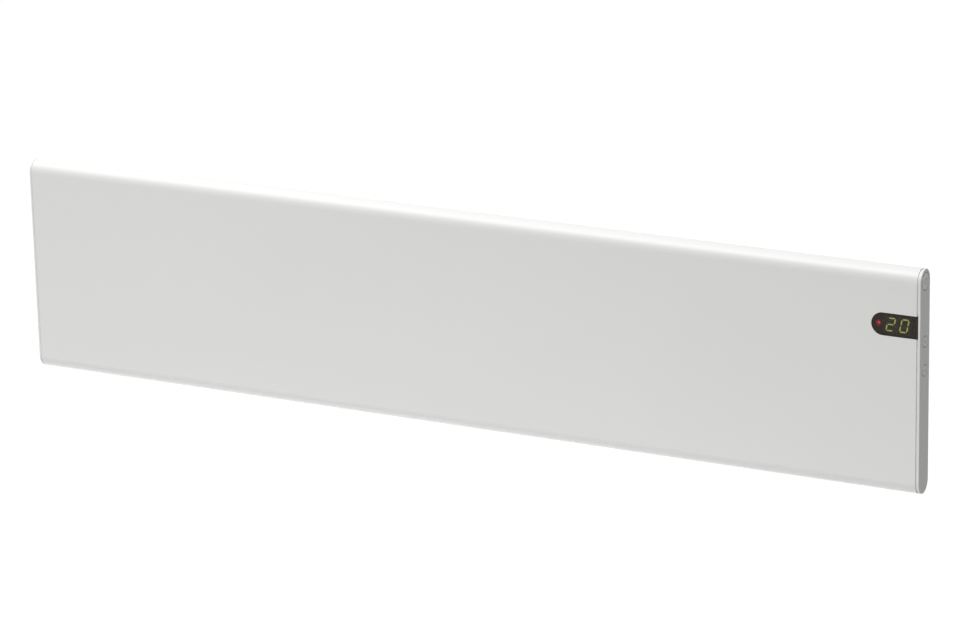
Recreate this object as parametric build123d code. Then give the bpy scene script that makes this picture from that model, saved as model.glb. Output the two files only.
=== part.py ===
from build123d import *
import math
import os

# A slim wall-hung convector heater, in millimetres.
# Origin: centre of the wall bracket's back face.  +X to the viewer's right, +Y into the wall, +Z up.

# Overall
panel_width = 1090.0  # over both end caps
panel_height = 250.0
panel_depth = 27.0  # round-edged front body
casing_depth = 35.0  # rear casing behind the front body
wall_gap = 22.0  # from the casing's back to the wall
panel_sheet = 1.0  # front panel steel
casing_sheet = 0.8  # rear casing and louvre strips
seat_clear = 0.1  # between two pieces that bear on each other but come apart

# End caps
cap_rim = 2.5  # thickness that shows at the end of the panel
cap_groove = 1.8  # shadow gap between panel edge and cap at the right, beside the display
cap_groove_left = 0.3  # at the plain end the joint is a hairline
cap_edge_round = 0.8
spigot_clear = 0.2
spigot_wall = 1.6
spigot_depth = 16.0
cap_rib = 1.2
cap_rib_pitch = 44.0
cap_boss_radius = 4.0
cap_boss_length = 3.8

# Display window, display and indicator
window_height = 25.4
window_reach = 52.7  # from the cap's rim to the tip of the window's round end
window_drop = 61.7  # from the crest of the panel to the window's centre line
window_recess = 0.3
window_clear = 0.15
window_flange = 3.0  # hidden border of the lens behind the panel
window_cover = 0.6  # of the panel's end over the cap beside the window
window_thickness = 1.5
digit_height = 15.2
digit_width = 9.2
digit_pitch = 15.2
digit_stroke = 1.3
digit_gap = 0.6  # from a corner to the tip of each bar
digit_lean = 12.0  # degrees
digit_relief = 0.2
digit_margin = 16.3  # from the cap's rim to the middle of the last digit
digit_rise = -0.2  # above the window's centre line
module_border = 2.6
led_radius = 1.5
led_gap = 1.3  # from the lens to the tip of the indicator
led_leg = 0.9
led_reach = 7.5  # from the tip of the window's round end to the indicator
led_rise = 0.3  # above the window's centre line

# Display carrier and boards
carrier_plate = 1.5
carrier_border = 4.2  # beyond the window's height, above and below
carrier_gap = 4.0  # from the carrier to the cap's rim
carrier_clear = 1.1  # from the carrier to the button board
board_thickness = 1.6
board_clear = 0.3
post_radius = 1.9
small_screw_radius = 1.0
small_head_radius = 1.7
small_head_height = 1.2
small_pilot_depth = 5.0
small_screw_reach = 4.0  # beyond the board, into the post

# Buttons
power_border = 4.5  # from the power button's edge to the cap's edge
adjust_radius = 5.5
plus_drop = 80.0  # from the crest of the panel to the plus button
adjust_pitch = 32.0
button_travel = 1.0
button_proud = 0.4
button_clear = 0.3
button_dish = 0.35
ring_width = 0.9  # recess round each button
ring_depth = 1.2
button_flange = 1.2  # beyond the button's radius
button_flange_thickness = 1.5
stem_radius = 1.75
stem_entry = 0.4  # into the switch at rest
stem_clear = 0.15
switch_side = 6.0
switch_height = 4.3
button_board_gap = 9.4  # from the cap's rim to the face of the button board
button_board_width = 10.0
button_board_clear = 1.2  # from the cap's bosses to the board

# Panel lips and rear casing
lip_gap = 2.0  # from the casing's wall to the edge of the panel's lip
casing_inset = 25.0  # from the end of the panel to the casing's end wall
casing_front_drop = 28.0  # from the crest of the panel to the casing's front edge
casing_back_drop = 45.0  # from the crest to the casing's rear fold
casing_bend = 3.0
flange_reach = 10.0  # of the casing's screwed border, above and below
flange_end_reach = 14.0
screw_hole_clear = 0.1
panel_screw_radius = 2.0
panel_screw_head = 3.6
panel_screw_head_height = 2.2
panel_screw_length = 6.0
panel_screw_margin = 40.0  # from the casing's end wall to the first screw
panel_screw_count = 5
cap_screw_height = 62.0

# Louvre strips
louvre_length = 60.0
louvre_pitch = 74.0
louvre_rows = 2
louvre_row_pitch = 14.0
louvre_throat = 6.5
louvre_height = 4.4
strip_side = 3.4  # from a fold of the casing to the strip
strip_end = 12.0  # least plain end beyond the last louvre
strip_gap = 4.0  # from the divider to the strip
vent_count = 3  # windows in the casing under each strip
vent_border = 3.0
vent_side = 3.5  # from the strip's edge to the vent's edge
rivet_radius = 1.6
rivet_head = 3.0
rivet_head_height = 1.0
rivet_inset = 7.5  # from the strip's end

# Wall bracket and hooks
bracket_sheet = 1.5
upright_x = 225.0  # from the middle to each upright
upright_width = 36.0
upright_over = 5.0  # beyond the casing's rear folds
bracket_clear = 2.5  # from the bracket to the casing
rail_half_height = 22.0
rail_depth = 10.0
bracket_corner = 5.0
bracket_bend = 2.5
wall_hole_margin = 20.0  # from an upright's end to the middle of its wall slot
wall_slot_length = 14.0
wall_slot_width = 6.0
hook_neck = 8.0
hook_tip = 10.0
hook_tip_depth = 2.4
hook_slack = 0.6  # front to back, between hook and plate
hook_round = 1.5
hook_top_margin = 14.0  # from the top of a doubler to the upper hooks' seat
hook_low_margin = 3.0  # from the foot of a doubler to the end of the lower slots
hook_side_clear = 1.0
lift_travel = 12.0
lift_slack = 1.0
hanger_sheet = 1.2
hanger_width = 62.0
hanger_margin = 6.0  # from the casing's rear folds to the doublers

# Heating element
pin_clear = 9.0  # from the divider to the element's pin
element_back = 25.0  # from the casing's back face to the element's axis
element_rise = 45.0  # above the casing's lower rear fold
hub_radius = 7.0
rod_radius = 4.0
rod_fit = 0.05
arm_half_depth = 12.0
arm_half_height = 27.0
arm_thickness = 2.4
arm_tip = 6.0
fin_slit = 3.0
fin_pitch = 20.0
fin_slit_reach = 9.0  # from the element's axis to the inner end of each slit
rod_overhang = 25.0
bead_radius = 5.5
bead_length = 12.0
pin_radius = 1.5
pin_length = 10.0
pin_tab = 6.0
support_gap = 8.0
support_sheet = 1.2
support_half_height = 24.0
support_reach = 16.0  # in front of the element's axis
support_foot = 12.0
bush_radius = 6.5
bush_length = 5.0

# Heat shield and divider
shield_gap = 7.0
shield_sheet = 0.6
shield_drop = 37.0  # from the crest of the panel to the shield's edge
shield_end_gap = 26.0  # from the divider
divider_inset = 89.0  # from the end of the panel
divider_sheet = 1.0
divider_clear = 0.4
divider_foot = 10.0
grommet_radius = 7.0
grommet_bore = 4.6
grommet_groove = 1.0
grommet_length = 4.0
grommet_back = 16.0  # from the casing's back face
grommet_rise = 14.0  # above the casing's lower rear fold

# Electronics and wiring in the right-hand bay
board_inset = 57.0  # from the end of the panel to the middle of the power board
power_board_width = 50.0
power_board_height = 72.0
board_drop = 54.0  # from the casing's upper rear fold to the middle of the power board
power_board_standoff = 8.0
board_post_inset = 4.0
board_part_inset = 3.0  # from the board's edge to the relay and the capacitor
relay_size = (19.0, 15.5, 15.0)
relay_rise = 18.0  # above the board's lower edge
transformer_size = (30.0, 20.0, 24.0)
transformer_drop = 9.0  # from the board's upper edge
capacitor_radius = 5.0
capacitor_length = 16.0
capacitor_rise = 22.0
terminal_inset = 49.0
terminal_width = 40.0
terminal_height = 17.0
terminal_depth = 18.0
terminal_rise = 32.0
terminal_ways = 3
terminal_hole_radius = 1.9
terminal_hole_depth = 5.0
terminal_funnel_depth = 8.0
terminal_screw_sink = 1.2
terminal_screw_clear = 0.1
earth_inset = 45.0
earth_rise = 55.0
earth_stud_radius = 2.0
earth_stud_length = 7.0
earth_nut_radius = 3.8
earth_nut_height = 3.0
lead_radius = 1.1
lead_back = 5.6  # from the casing's back wall to the long lead
lead_rise = 4.0
clip_width = 6.0
clip_wall = 1.0
clip_count = 4
clip_pitch = 210.0
cutout_gap = 116.0  # from the divider
cutout_drop = 36.0  # from the casing's upper rear fold
cutout_radius = 8.0
cutout_height = 10.0
cutout_ear = 12.5
sensor_inset = 40.0
sensor_rise = 9.0  # above the casing's lower rear fold
sensor_radius = 2.6
sensor_length = 14.0
sensor_foot = 2.0  # beyond the sleeve

# Cable gland
gland_inset = 53.0
gland_thread_radius = 8.0
gland_bore = 4.1
gland_flats = 20.0
gland_body = 7.0
gland_nut_length = 10.0
gland_nut_radius = 9.0
gland_flutes = 12
gland_flute_radius = 1.0
gland_tail = 9.0
locknut_height = 4.0

# Levels that follow from the sizes above
crest = panel_height / 2
edge_radius = panel_depth / 2
y_back = -wall_gap
y_joint = y_back - casing_depth
y_front = y_joint - panel_depth
y_axis = y_joint - edge_radius
y_wall = y_back - casing_sheet  # inner face of the casing's back wall
x_end = panel_width / 2
x_rim = x_end - cap_rim
x_panel = x_rim - cap_groove
x_panel_left = cap_groove_left - x_rim
x_casing = x_end - casing_inset
casing_half_front = crest - casing_front_drop
casing_half_back = crest - casing_back_drop
lip_z = casing_half_front + lip_gap
slope = (casing_half_front - casing_half_back) / casing_depth
slope_width = math.hypot(casing_half_front - casing_half_back, casing_depth)
strip_width = slope_width - 2 * strip_side
window_z = crest - window_drop
window_radius = window_height / 2
window_x = x_rim - window_reach + window_radius
y_lens = y_front + panel_sheet + window_thickness  # back of the lens
carrier_half_height = window_radius + carrier_border
x_carrier = x_rim - carrier_gap
x_carrier_left = x_rim - window_reach - window_flange
y_stem = y_joint - cap_boss_length - button_board_clear - button_board_width / 2
y_carrier = y_stem - button_board_width / 2 - carrier_clear  # back of the carrier
y_board = y_carrier - board_thickness  # front of the display board
digits_x = x_rim - digit_margin - digit_pitch / 2
digit_z = window_z + digit_rise
led_x = x_rim - window_reach + led_reach
led_z = window_z + led_rise
power_z = crest - edge_radius
power_radius = edge_radius - power_border
plus_z = crest - plus_drop
minus_z = plus_z - adjust_pitch
x_button_board = x_rim - button_board_gap
x_switch = x_button_board + switch_height
y_element = y_back - element_back
element_z = element_rise - casing_half_back
x_divider = x_end - divider_inset
x_pin = x_divider - pin_clear
x_rod = x_pin - pin_length - bead_length
element_half = x_rod - rod_overhang
x_support = element_half + support_gap
strip_length = 2 * (x_divider - strip_gap)
louvre_room = strip_length - 2 * strip_end + louvre_pitch - louvre_length
vent_columns = int(louvre_room // (louvre_pitch * vent_count))
louvre_columns = vent_columns * vent_count
y_power_board = y_wall - power_board_standoff
board_x = x_end - board_inset
board_z = casing_half_back - board_drop
terminal_x = x_end - terminal_inset
terminal_z = terminal_rise - casing_half_back
grommet_z = grommet_rise - casing_half_back
lead_z = lead_rise - casing_half_back
upright_half_height = casing_half_back + upright_over
wall_hole_z = upright_half_height - wall_hole_margin
bracket_depth = wall_gap - bracket_clear
hanger_half_height = casing_half_back - hanger_margin
hook_upper = hanger_half_height - hook_top_margin
hook_lower = hook_low_margin + hook_neck + lift_travel + lift_slack - hanger_half_height
hook_levels = (hook_upper, hook_lower)
hook_edge = upright_width / 2 - bracket_sheet / 2
hook_columns = [side * upright_x + edge * hook_edge for side in (-1, 1) for edge in (-1, 1)]
y_hook_tip = y_wall - hanger_sheet - hook_slack


def block(x0, x1, y0, y1, z0, z1):
    """A box between two corners."""
    middle = Pos((x0 + x1) / 2, (y0 + y1) / 2, (z0 + z1) / 2)
    return middle * Box(abs(x1 - x0), abs(y1 - y0), abs(z1 - z0))


def rod_x(x0, x1, y, z, radius):
    """A round bar along X."""
    return Pos((x0 + x1) / 2, y, z) * Rot(0, 90, 0) * Cylinder(radius, abs(x1 - x0))


def rod_y(x, y0, y1, z, radius):
    """A round bar along Y."""
    return Pos(x, (y0 + y1) / 2, z) * Rot(90, 0, 0) * Cylinder(radius, abs(y1 - y0))


def along_x(section, x0, x1):
    """Extrude a section drawn in the YZ plane from x0 to x1."""
    return Pos(x0, 0, 0) * extrude(section, amount=x1 - x0)


def edges_at(part, axis, level):
    """The edges that lie in one plane across an axis."""
    return part.edges().filter_by_position(axis, level - 0.001, level + 0.001)


def stadium(inset):
    """The round-edged section of the front body, drawn smaller by an inset."""
    slot = SlotOverall(panel_height - 2 * inset, panel_depth - 2 * inset, rotation=90)
    return Plane.YZ * Pos(y_axis, 0) * slot


def tray_section(inset, front):
    """The section of the rear casing, each wall moved in by an inset, open side at a given y."""
    lean = math.hypot(1, slope)

    def half_height(y):
        return casing_half_front - slope * (y - y_joint) - inset * lean

    back = y_back - inset
    corners = [
        (front, -half_height(front)),
        (back, -half_height(back)),
        (back, half_height(back)),
        (front, half_height(front)),
    ]
    return Plane.YZ * make_face(Polyline(*corners, close=True))


def casing_slope():
    """The plane on the casing's upper sloping wall, its z axis pointing out."""
    middle = (0, (y_joint + y_back) / 2, (casing_half_front + casing_half_back) / 2)
    return Plane(origin=middle, x_dir=(1, 0, 0), z_dir=(0, slope, 1))


def window_prism(grow, x_right, y0, y1):
    """The display window's outline, round at the left, made thick from y0 to y1."""
    radius = window_radius + grow
    tip = rod_y(window_x, y0, y1, window_z, radius)
    return tip + block(window_x, x_right, y0, y1, window_z - radius, window_z + radius)


def panel_screw_places():
    """Where the casing is screwed to the panel's lips."""
    z_screw = (lip_z + casing_half_front + flange_reach) / 2
    reach = x_casing - panel_screw_margin
    columns = [reach * (2 * n / (panel_screw_count - 1) - 1) for n in range(panel_screw_count)]
    return [(x, side * z_screw) for side in (-1, 1) for x in columns]


def cap_screw_places():
    """Where the casing is screwed to the end caps."""
    x_screw = x_casing + flange_end_reach - cap_boss_radius
    return [(side * x_screw, level * cap_screw_height) for side in (-1, 1) for level in (-1, 1)]


def front_panel():
    """Roll-formed steel front with round top and bottom edges, rear lips and the display notch."""
    panel = along_x(stadium(0) - stadium(panel_sheet), x_panel_left, x_panel)
    panel -= block(-x_end, x_end, y_axis, y_joint + 1, -lip_z, lip_z)
    panel -= window_prism(0, x_end, y_front - 1, y_axis)
    for x, z in panel_screw_places():
        panel -= rod_y(x, y_joint - 2 * panel_sheet, y_joint + 1, z, panel_screw_radius + screw_hole_clear)
    return panel


def screw_y(x, z, y_seat, radius, head_radius, head_height, length):
    """A pan-head screw driven towards the front, its head seated at y_seat."""
    head = rod_y(x, y_seat, y_seat + head_height, z, head_radius)
    head = chamfer(edges_at(head, Axis.Y, y_seat + head_height), head_height * 0.35)
    head -= block(x - head_radius * 0.6, x + head_radius * 0.6, y_seat + head_height / 2,
                  y_seat + head_height, z - radius * 0.2, z + radius * 0.2)
    return head + rod_y(x, y_seat - length, y_seat, z, radius)


def rear_casing():
    """Folded steel tray behind the panel, with a screwed border, vents and hanger slots."""
    outer = along_x(tray_section(0, y_joint), -x_casing, x_casing)
    outer = fillet(edges_at(outer, Axis.Y, y_back), casing_bend)
    half_inner = x_casing - casing_sheet
    inner = along_x(tray_section(casing_sheet, y_joint - 1), -half_inner, half_inner)
    inner = fillet(edges_at(inner, Axis.Y, y_wall), casing_bend - casing_sheet)
    half_length = x_casing + flange_end_reach
    half_height = casing_half_front + flange_reach
    border = block(-half_length, half_length, y_joint, y_joint + casing_sheet, -half_height, half_height)
    tray = outer + border - inner
    for x, z in panel_screw_places() + cap_screw_places():
        tray -= rod_y(x, y_joint - 1, y_joint + 1 + casing_sheet, z, panel_screw_radius + screw_hole_clear)
    vents = casing_vents()
    tray -= vents
    tray -= mirror(vents, Plane.XY)
    for place in hanger_slots(y_back + 1, y_wall - 1):
        tray -= place
    tray -= gland_axis() * Cylinder(gland_thread_radius + screw_hole_clear, 4 * casing_sheet)
    for place in grille_rivet_places():
        hole = casing_slope() * place * Cylinder(rivet_radius, 4 * casing_sheet)
        tray -= hole
        tray -= mirror(hole, Plane.XY)
    return tray


def casing_vents():
    """The windows in the upper sloping wall, one for each group of louvres."""
    length = (vent_columns - 1) * louvre_pitch + louvre_length + 2 * vent_border
    width = strip_width - 2 * vent_side
    first = -(vent_count - 1) * vent_columns * louvre_pitch / 2
    vents = Part()
    for n in range(vent_count):
        vents += Pos(first + n * vent_columns * louvre_pitch, 0) * Box(length, width, 4 * casing_sheet)
    return casing_slope() * vents


def hanger_slots(y0, y1):
    """The upright slots that the bracket's hooks pass through."""
    half_width = bracket_sheet / 2 + hook_side_clear
    slots = []
    for x in hook_columns:
        for level in hook_levels:
            top = level + seat_clear
            bottom = level - hook_neck - lift_travel - lift_slack
            slots.append(block(x - half_width, x + half_width, y0, y1, bottom, top))
    return slots


def hanger_plates():
    """Steel doublers welded inside the casing where the hooks bear, one for each upright."""
    plates = []
    for side in (-1, 1):
        x = side * upright_x
        plate = block(x - hanger_width / 2, x + hanger_width / 2, y_wall - hanger_sheet, y_wall,
                      -hanger_half_height, hanger_half_height)
        plate = fillet(plate.edges().filter_by(Axis.Y), bracket_corner)
        for slot in hanger_slots(y_wall + 1, y_wall - hanger_sheet - 1):
            plate -= slot
        plates.append(plate)
    return plates


def louvre_strip():
    """A steel strip with rows of pressed hoods, on the upper sloping wall."""
    strip = Pos(0, 0, casing_sheet / 2) * Box(strip_length, strip_width, casing_sheet)
    strip = fillet(strip.edges().filter_by(Axis.Z), casing_bend)
    hoods = Part()
    throats = Part()
    for row in range(louvre_rows):
        y = (row - (louvre_rows - 1) / 2) * louvre_row_pitch
        for column in range(louvre_columns):
            x = (column - (louvre_columns - 1) / 2) * louvre_pitch
            hoods += Pos(x, y, 0) * louvre_body(0, louvre_length)
            throats += Pos(x, y, 0) * louvre_body(casing_sheet, louvre_length - 2 * casing_sheet)
    strip = strip + hoods - throats
    for place in grille_rivet_places():
        strip -= place * Cylinder(rivet_radius, 4 * casing_sheet)
    return casing_slope() * strip


def louvre_body(inset, length):
    """One hood, or with an inset the hollow under it, open towards the crest of the panel."""
    reach = louvre_throat / 2
    root = (reach - inset, 0)
    lip = (-reach - inset * 2, louvre_height + casing_sheet - inset)
    bulge = (reach * 0.35 - inset * 0.8, louvre_height * 0.82 + casing_sheet - inset * 1.4)
    foot = -casing_sheet if inset else 0
    outline = Curve() + ThreePointArc(root, bulge, lip)
    outline += Line(lip, (lip[0], foot))
    outline += Line((lip[0], foot), (root[0], foot))
    if foot < 0:
        outline += Line((root[0], foot), root)
    section = Plane.YZ * make_face(outline)
    return Pos(-length / 2, 0, 0) * extrude(section, amount=length)


def outlet_grille():
    return louvre_strip()


def inlet_grille():
    return mirror(louvre_strip(), Plane.XY)


def grille_rivet_places():
    """Rivets at the ends of a strip and on the bars between the vents."""
    end = strip_length / 2 - rivet_inset
    bar = vent_columns * louvre_pitch / 2
    return [Pos(x, 0, 0) for x in (-end, -bar, bar, end)]


def grille_rivets():
    """Dome-head rivets through strip and casing."""
    rivets = []
    for place in grille_rivet_places():
        shank = Cylinder(rivet_radius, 2 * casing_sheet)
        level = casing_sheet + rivet_head_height / 2
        head = Pos(0, 0, level) * Cylinder(rivet_head, rivet_head_height)
        head = chamfer(head.edges().group_by(Axis.Z)[-1], rivet_head_height * 0.6)
        tail = Pos(0, 0, -level) * Cylinder(rivet_head * 0.8, rivet_head_height)
        rivet = casing_slope() * place * (shank + head + tail)
        rivets += [rivet, mirror(rivet, Plane.XY)]
    return rivets


def end_cap():
    """The right-hand moulded cap without its pockets: a rim plate, a hollow spigot and a rear pad."""
    plate = along_x(stadium(0), x_rim, x_end)
    plate = fillet(edges_at(plate, Axis.X, x_end), cap_edge_round)
    x_spigot = x_rim - spigot_depth
    outside = panel_sheet + spigot_clear
    inside = outside + spigot_wall
    ring = along_x(stadium(outside) - stadium(inside), x_spigot, x_rim)
    half_pad = lip_z - spigot_clear
    pad = block(x_spigot, x_rim, y_joint - inside, y_joint, -half_pad, half_pad)
    cap = plate + ring + pad
    for level in (-1, 1):
        x_screw = x_casing + flange_end_reach - cap_boss_radius
        z_screw = level * cap_screw_height
        cap += rod_y(x_screw, y_joint - cap_boss_length, y_joint, z_screw, cap_boss_radius)
        cap -= rod_y(x_screw, y_joint - cap_boss_length + 1, y_joint + 1, z_screw, panel_screw_radius)
    return cap


def cap_ribs(levels):
    """Cross ribs that stiffen the inside of a cap."""
    ribs = Part()
    inside = panel_sheet + spigot_clear
    for z in levels:
        rib = block(x_rim - spigot_depth / 2, x_rim, y_front, y_joint, z - cap_rib / 2, z + cap_rib / 2)
        ribs += rib & along_x(stadium(inside), x_rim - spigot_depth, x_rim)
    return ribs


def end_cap_left():
    cap = end_cap() + cap_ribs([n * cap_rib_pitch for n in (-2, -1, 0, 1, 2)])
    return mirror(cap, Plane.YZ)


def end_cap_right():
    """The cap at the display end, with button holes, board posts and a notch for the display."""
    cap = end_cap() + cap_ribs([-n * cap_rib_pitch for n in (1, 2)])
    notch = carrier_half_height + window_clear
    x_notch = x_panel - window_cover
    cap -= block(x_rim - spigot_depth - 1, x_notch, y_front, y_axis, window_z - notch, window_z + notch)
    notch = window_radius + window_clear
    cap -= block(x_notch - 1, x_rim, y_front, y_axis, window_z - notch, window_z + notch)
    for z in button_board_post_levels():
        cap += rod_x(x_button_board, x_rim, y_stem, z, post_radius)
        cap -= rod_x(x_button_board - 1, x_button_board + small_pilot_depth, y_stem, z, small_screw_radius)
    for side in (-1, 1):
        z = window_z + side * (carrier_half_height - 2 * carrier_plate)
        cap += rod_x(x_carrier, x_rim, y_lens + carrier_plate, z, carrier_plate * 0.8)
    for z, radius in ((power_z, power_radius), (plus_z, adjust_radius), (minus_z, adjust_radius)):
        cap -= rod_x(x_rim - 1, x_end + 1, y_axis, z, radius + button_clear)
        cap -= rod_x(x_end - ring_depth, x_end + 1, y_axis, z, radius + button_clear + ring_width)
    return cap


def button_board_post_levels():
    """Heights of the two posts that carry the button board."""
    return ((power_z + plus_z) / 2, minus_z - switch_side / 2 - 3 * post_radius)


def button(z, radius):
    """A round push button: dished face, retaining flange and a stem that enters its switch."""
    face = rod_x(x_rim, x_end + button_proud, y_axis, z, radius)
    face = fillet(edges_at(face, Axis.X, x_end + button_proud), button_proud)
    dish_radius = (radius * 0.8) ** 2 / (2 * button_dish) + button_dish / 2
    face -= Pos(x_end + button_proud - button_dish + dish_radius, y_axis, z) * Sphere(dish_radius)
    flange_radius = radius + button_flange
    flange = rod_x(x_rim - button_flange_thickness, x_rim, y_axis, z, flange_radius)
    stem = rod_x(x_switch - stem_entry, x_rim - button_flange_thickness, y_stem, z, stem_radius)
    return face + flange + stem


def power_button():
    return button(power_z, power_radius)


def plus_button():
    return button(plus_z, adjust_radius)


def minus_button():
    return button(minus_z, adjust_radius)


def button_board():
    """Narrow circuit board on the cap's posts, facing the buttons."""
    low = button_board_post_levels()[1] - 2 * post_radius
    high = power_z + switch_side * 0.7
    board = block(x_button_board - board_thickness, x_button_board,
                  y_stem - button_board_width / 2, y_stem + button_board_width / 2, low, high)
    board = fillet(board.edges().filter_by(Axis.X), 1)
    hole_radius = small_screw_radius + screw_hole_clear
    for z in button_board_post_levels():
        board -= rod_x(x_button_board - 3, x_button_board + 1, y_stem, z, hole_radius)
    return board


def button_switches():
    """Three tactile switches; each button's stem works inside one."""
    switches = []
    half = switch_side / 2
    for z in (power_z, plus_z, minus_z):
        switch = block(x_button_board, x_switch, y_stem - half, y_stem + half, z - half, z + half)
        switch = chamfer(switch.edges().filter_by(Axis.X), 0.6)
        well = stem_entry + button_travel + stem_clear
        switch -= rod_x(x_switch - well, x_switch + 1, y_stem, z, stem_radius + stem_clear)
        switches.append(switch)
    return switches


def button_board_screws():
    """Two small screws that hold the button board to the cap."""
    screws = []
    for z in button_board_post_levels():
        x_seat = x_button_board - board_thickness
        head = rod_x(x_seat - small_head_height, x_seat, y_stem, z, small_head_radius)
        head = chamfer(edges_at(head, Axis.X, x_seat - small_head_height), small_head_height * 0.35)
        screws.append(head + rod_x(x_seat, x_button_board + small_screw_reach, y_stem, z, small_screw_radius))
    return screws


def display_window():
    """Smoked acrylic lens: a pad that fills the notch and a border behind the panel."""
    pad = window_prism(-window_clear, x_rim - window_clear, y_front + window_recess, y_front + panel_sheet)
    x_border = x_panel - window_cover - window_clear
    border = window_prism(window_flange, x_border, y_front + panel_sheet, y_lens)
    return pad + border


def display_carrier():
    """Black moulding that backs the lens up to the cap's rim and carries the display board."""
    z0 = window_z - carrier_half_height
    z1 = window_z + carrier_half_height
    tray = block(x_carrier_left, x_carrier, y_lens, y_carrier, z0, z1)
    tray = fillet(tray.edges().filter_by(Axis.Y), carrier_plate * 1.5)
    tray -= block(x_carrier_left + carrier_plate, x_carrier - carrier_plate, y_lens + carrier_plate,
                  y_carrier, z0 + carrier_plate, z1 - carrier_plate)
    half_tongue = window_radius - window_clear
    tray += block(x_carrier - carrier_plate, x_rim - window_clear, y_lens, y_lens + carrier_plate,
                  window_z - half_tongue, window_z + half_tongue)
    for x, z in display_post_places():
        tray += rod_y(x, y_lens + carrier_plate, y_board, z, post_radius)
        tray -= rod_y(x, y_board - 3, y_board + 1, z, small_screw_radius)
    half_x, half_z = module_half_size()
    tray -= block(digits_x - half_x - board_clear, digits_x + half_x + board_clear, y_lens - 1,
                  y_lens + carrier_plate + 1, digit_z - half_z - board_clear, digit_z + half_z + board_clear)
    return tray - rod_y(led_x, y_lens - 1, y_lens + carrier_plate + 1, led_z, led_radius + board_clear)


def module_half_size():
    """Half the width and half the height of the two-digit display."""
    lean = digit_height / 2 * math.tan(math.radians(digit_lean))
    half_x = digit_pitch / 2 + digit_width / 2 + lean + module_border / 2
    return (half_x, digit_height / 2 + module_border / 2)


def display_post_places():
    """The four posts that the display board is screwed to."""
    inset = carrier_plate + post_radius
    columns = (x_carrier_left + inset, x_carrier - inset)
    rows = (window_z - carrier_half_height + inset, window_z + carrier_half_height - inset)
    return [(x, z) for x in columns for z in rows]


def display_board():
    """Circuit board behind the display."""
    margin = carrier_plate + board_clear
    board = block(x_carrier_left + margin, x_carrier - margin, y_board, y_carrier,
                  window_z - carrier_half_height + margin, window_z + carrier_half_height - margin)
    for x, z in display_post_places():
        board -= rod_y(x, y_board - 1, y_carrier + 1, z, small_screw_radius + screw_hole_clear)
    return board


def display_screws():
    """Small screws that hold the display board to its carrier."""
    length = board_thickness + 2.5
    return [
        screw_y(x, z, y_carrier, small_screw_radius, small_head_radius, small_head_height, length)
        for x, z in display_post_places()
    ]


def display_module():
    """Two-digit seven-segment display housing."""
    half_x, half_z = module_half_size()
    y0 = y_lens + digit_relief + window_clear
    housing = block(digits_x - half_x, digits_x + half_x, y0, y_board, digit_z - half_z, digit_z + half_z)
    return chamfer(edges_at(housing, Axis.Y, y0), 0.3)


def segment(x0, z0, x1, z1):
    """One six-sided bar of a digit between two joints, drawn upright in the XZ plane."""
    half = digit_stroke / 2
    length = math.hypot(x1 - x0, z1 - z0) - 2 * digit_gap
    bar = [(-length / 2, 0), (-length / 2 + half, half), (length / 2 - half, half),
           (length / 2, 0), (length / 2 - half, -half), (-length / 2 + half, -half)]
    turn = math.degrees(math.atan2(z1 - z0, x1 - x0))
    return Pos((x0 + x1) / 2, (z0 + z1) / 2) * Rot(0, 0, turn) * make_face(Polyline(*bar, close=True))


def digit(lit):
    """The lit bars of one digit, leaning to the right, drawn about its own middle."""
    w = (digit_width - digit_stroke) / 2
    h = (digit_height - digit_stroke) / 2
    joints = {"a": (-w, h, w, h), "b": (w, 0, w, h), "c": (w, -h, w, 0), "d": (-w, -h, w, -h),
              "e": (-w, -h, -w, 0), "f": (-w, 0, -w, h), "g": (-w, 0, w, 0)}
    lean = math.tan(math.radians(digit_lean))
    bars = []
    for name in lit:
        x0, z0, x1, z1 = joints[name]
        bars.append(segment(x0 + z0 * lean, z0, x1 + z1 * lean, z1))
    return bars


def display_digits():
    """The lit bars, standing slightly proud of the display's face: a two and a nought."""
    y0 = y_lens + digit_relief + window_clear
    bars = []
    for side, lit in ((-1, "abged"), (1, "abcdef")):
        middle = (digits_x + side * digit_pitch / 2, y0, digit_z)
        face = Plane(origin=middle, x_dir=(1, 0, 0), z_dir=(0, -1, 0))
        bars += [extrude(face * bar, amount=digit_relief) for bar in digit(lit)]
    return bars


def status_led():
    """Red indicator lamp with a domed lens, a collar and two legs to the board."""
    y_base = y_board - led_leg
    y_dome = y_lens + led_gap + led_radius
    lamp = rod_y(led_x, y_dome, y_base, led_z, led_radius)
    lamp += Pos(led_x, y_dome, led_z) * Sphere(led_radius)
    lamp += rod_y(led_x, y_base - 0.8, y_base, led_z, led_radius + 0.25)
    for side in (-1, 1):
        leg_x = led_x + side * led_radius * 0.6
        lamp += block(leg_x - 0.25, leg_x + 0.25, y_base, y_board, led_z - 0.25, led_z + 0.25)
    return lamp


def heat_shield():
    """Thin aluminium tray that keeps the element's heat off the front panel."""
    y_inner = y_front + panel_sheet
    y_web = y_inner + shield_gap
    half_length = x_divider - shield_end_gap
    half_height = crest - shield_drop
    tray = block(-half_length, half_length, y_inner, y_web, -half_height, half_height)
    tray = fillet(edges_at(tray, Axis.Y, y_web).filter_by(Axis.X), 2)
    hollow = block(-x_end, x_end, y_inner - 1, y_web - shield_sheet,
                   -half_height + shield_sheet, half_height - shield_sheet)
    hollow = fillet(edges_at(hollow, Axis.Y, y_web - shield_sheet).filter_by(Axis.X), 2 - shield_sheet)
    return tray - hollow


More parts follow.
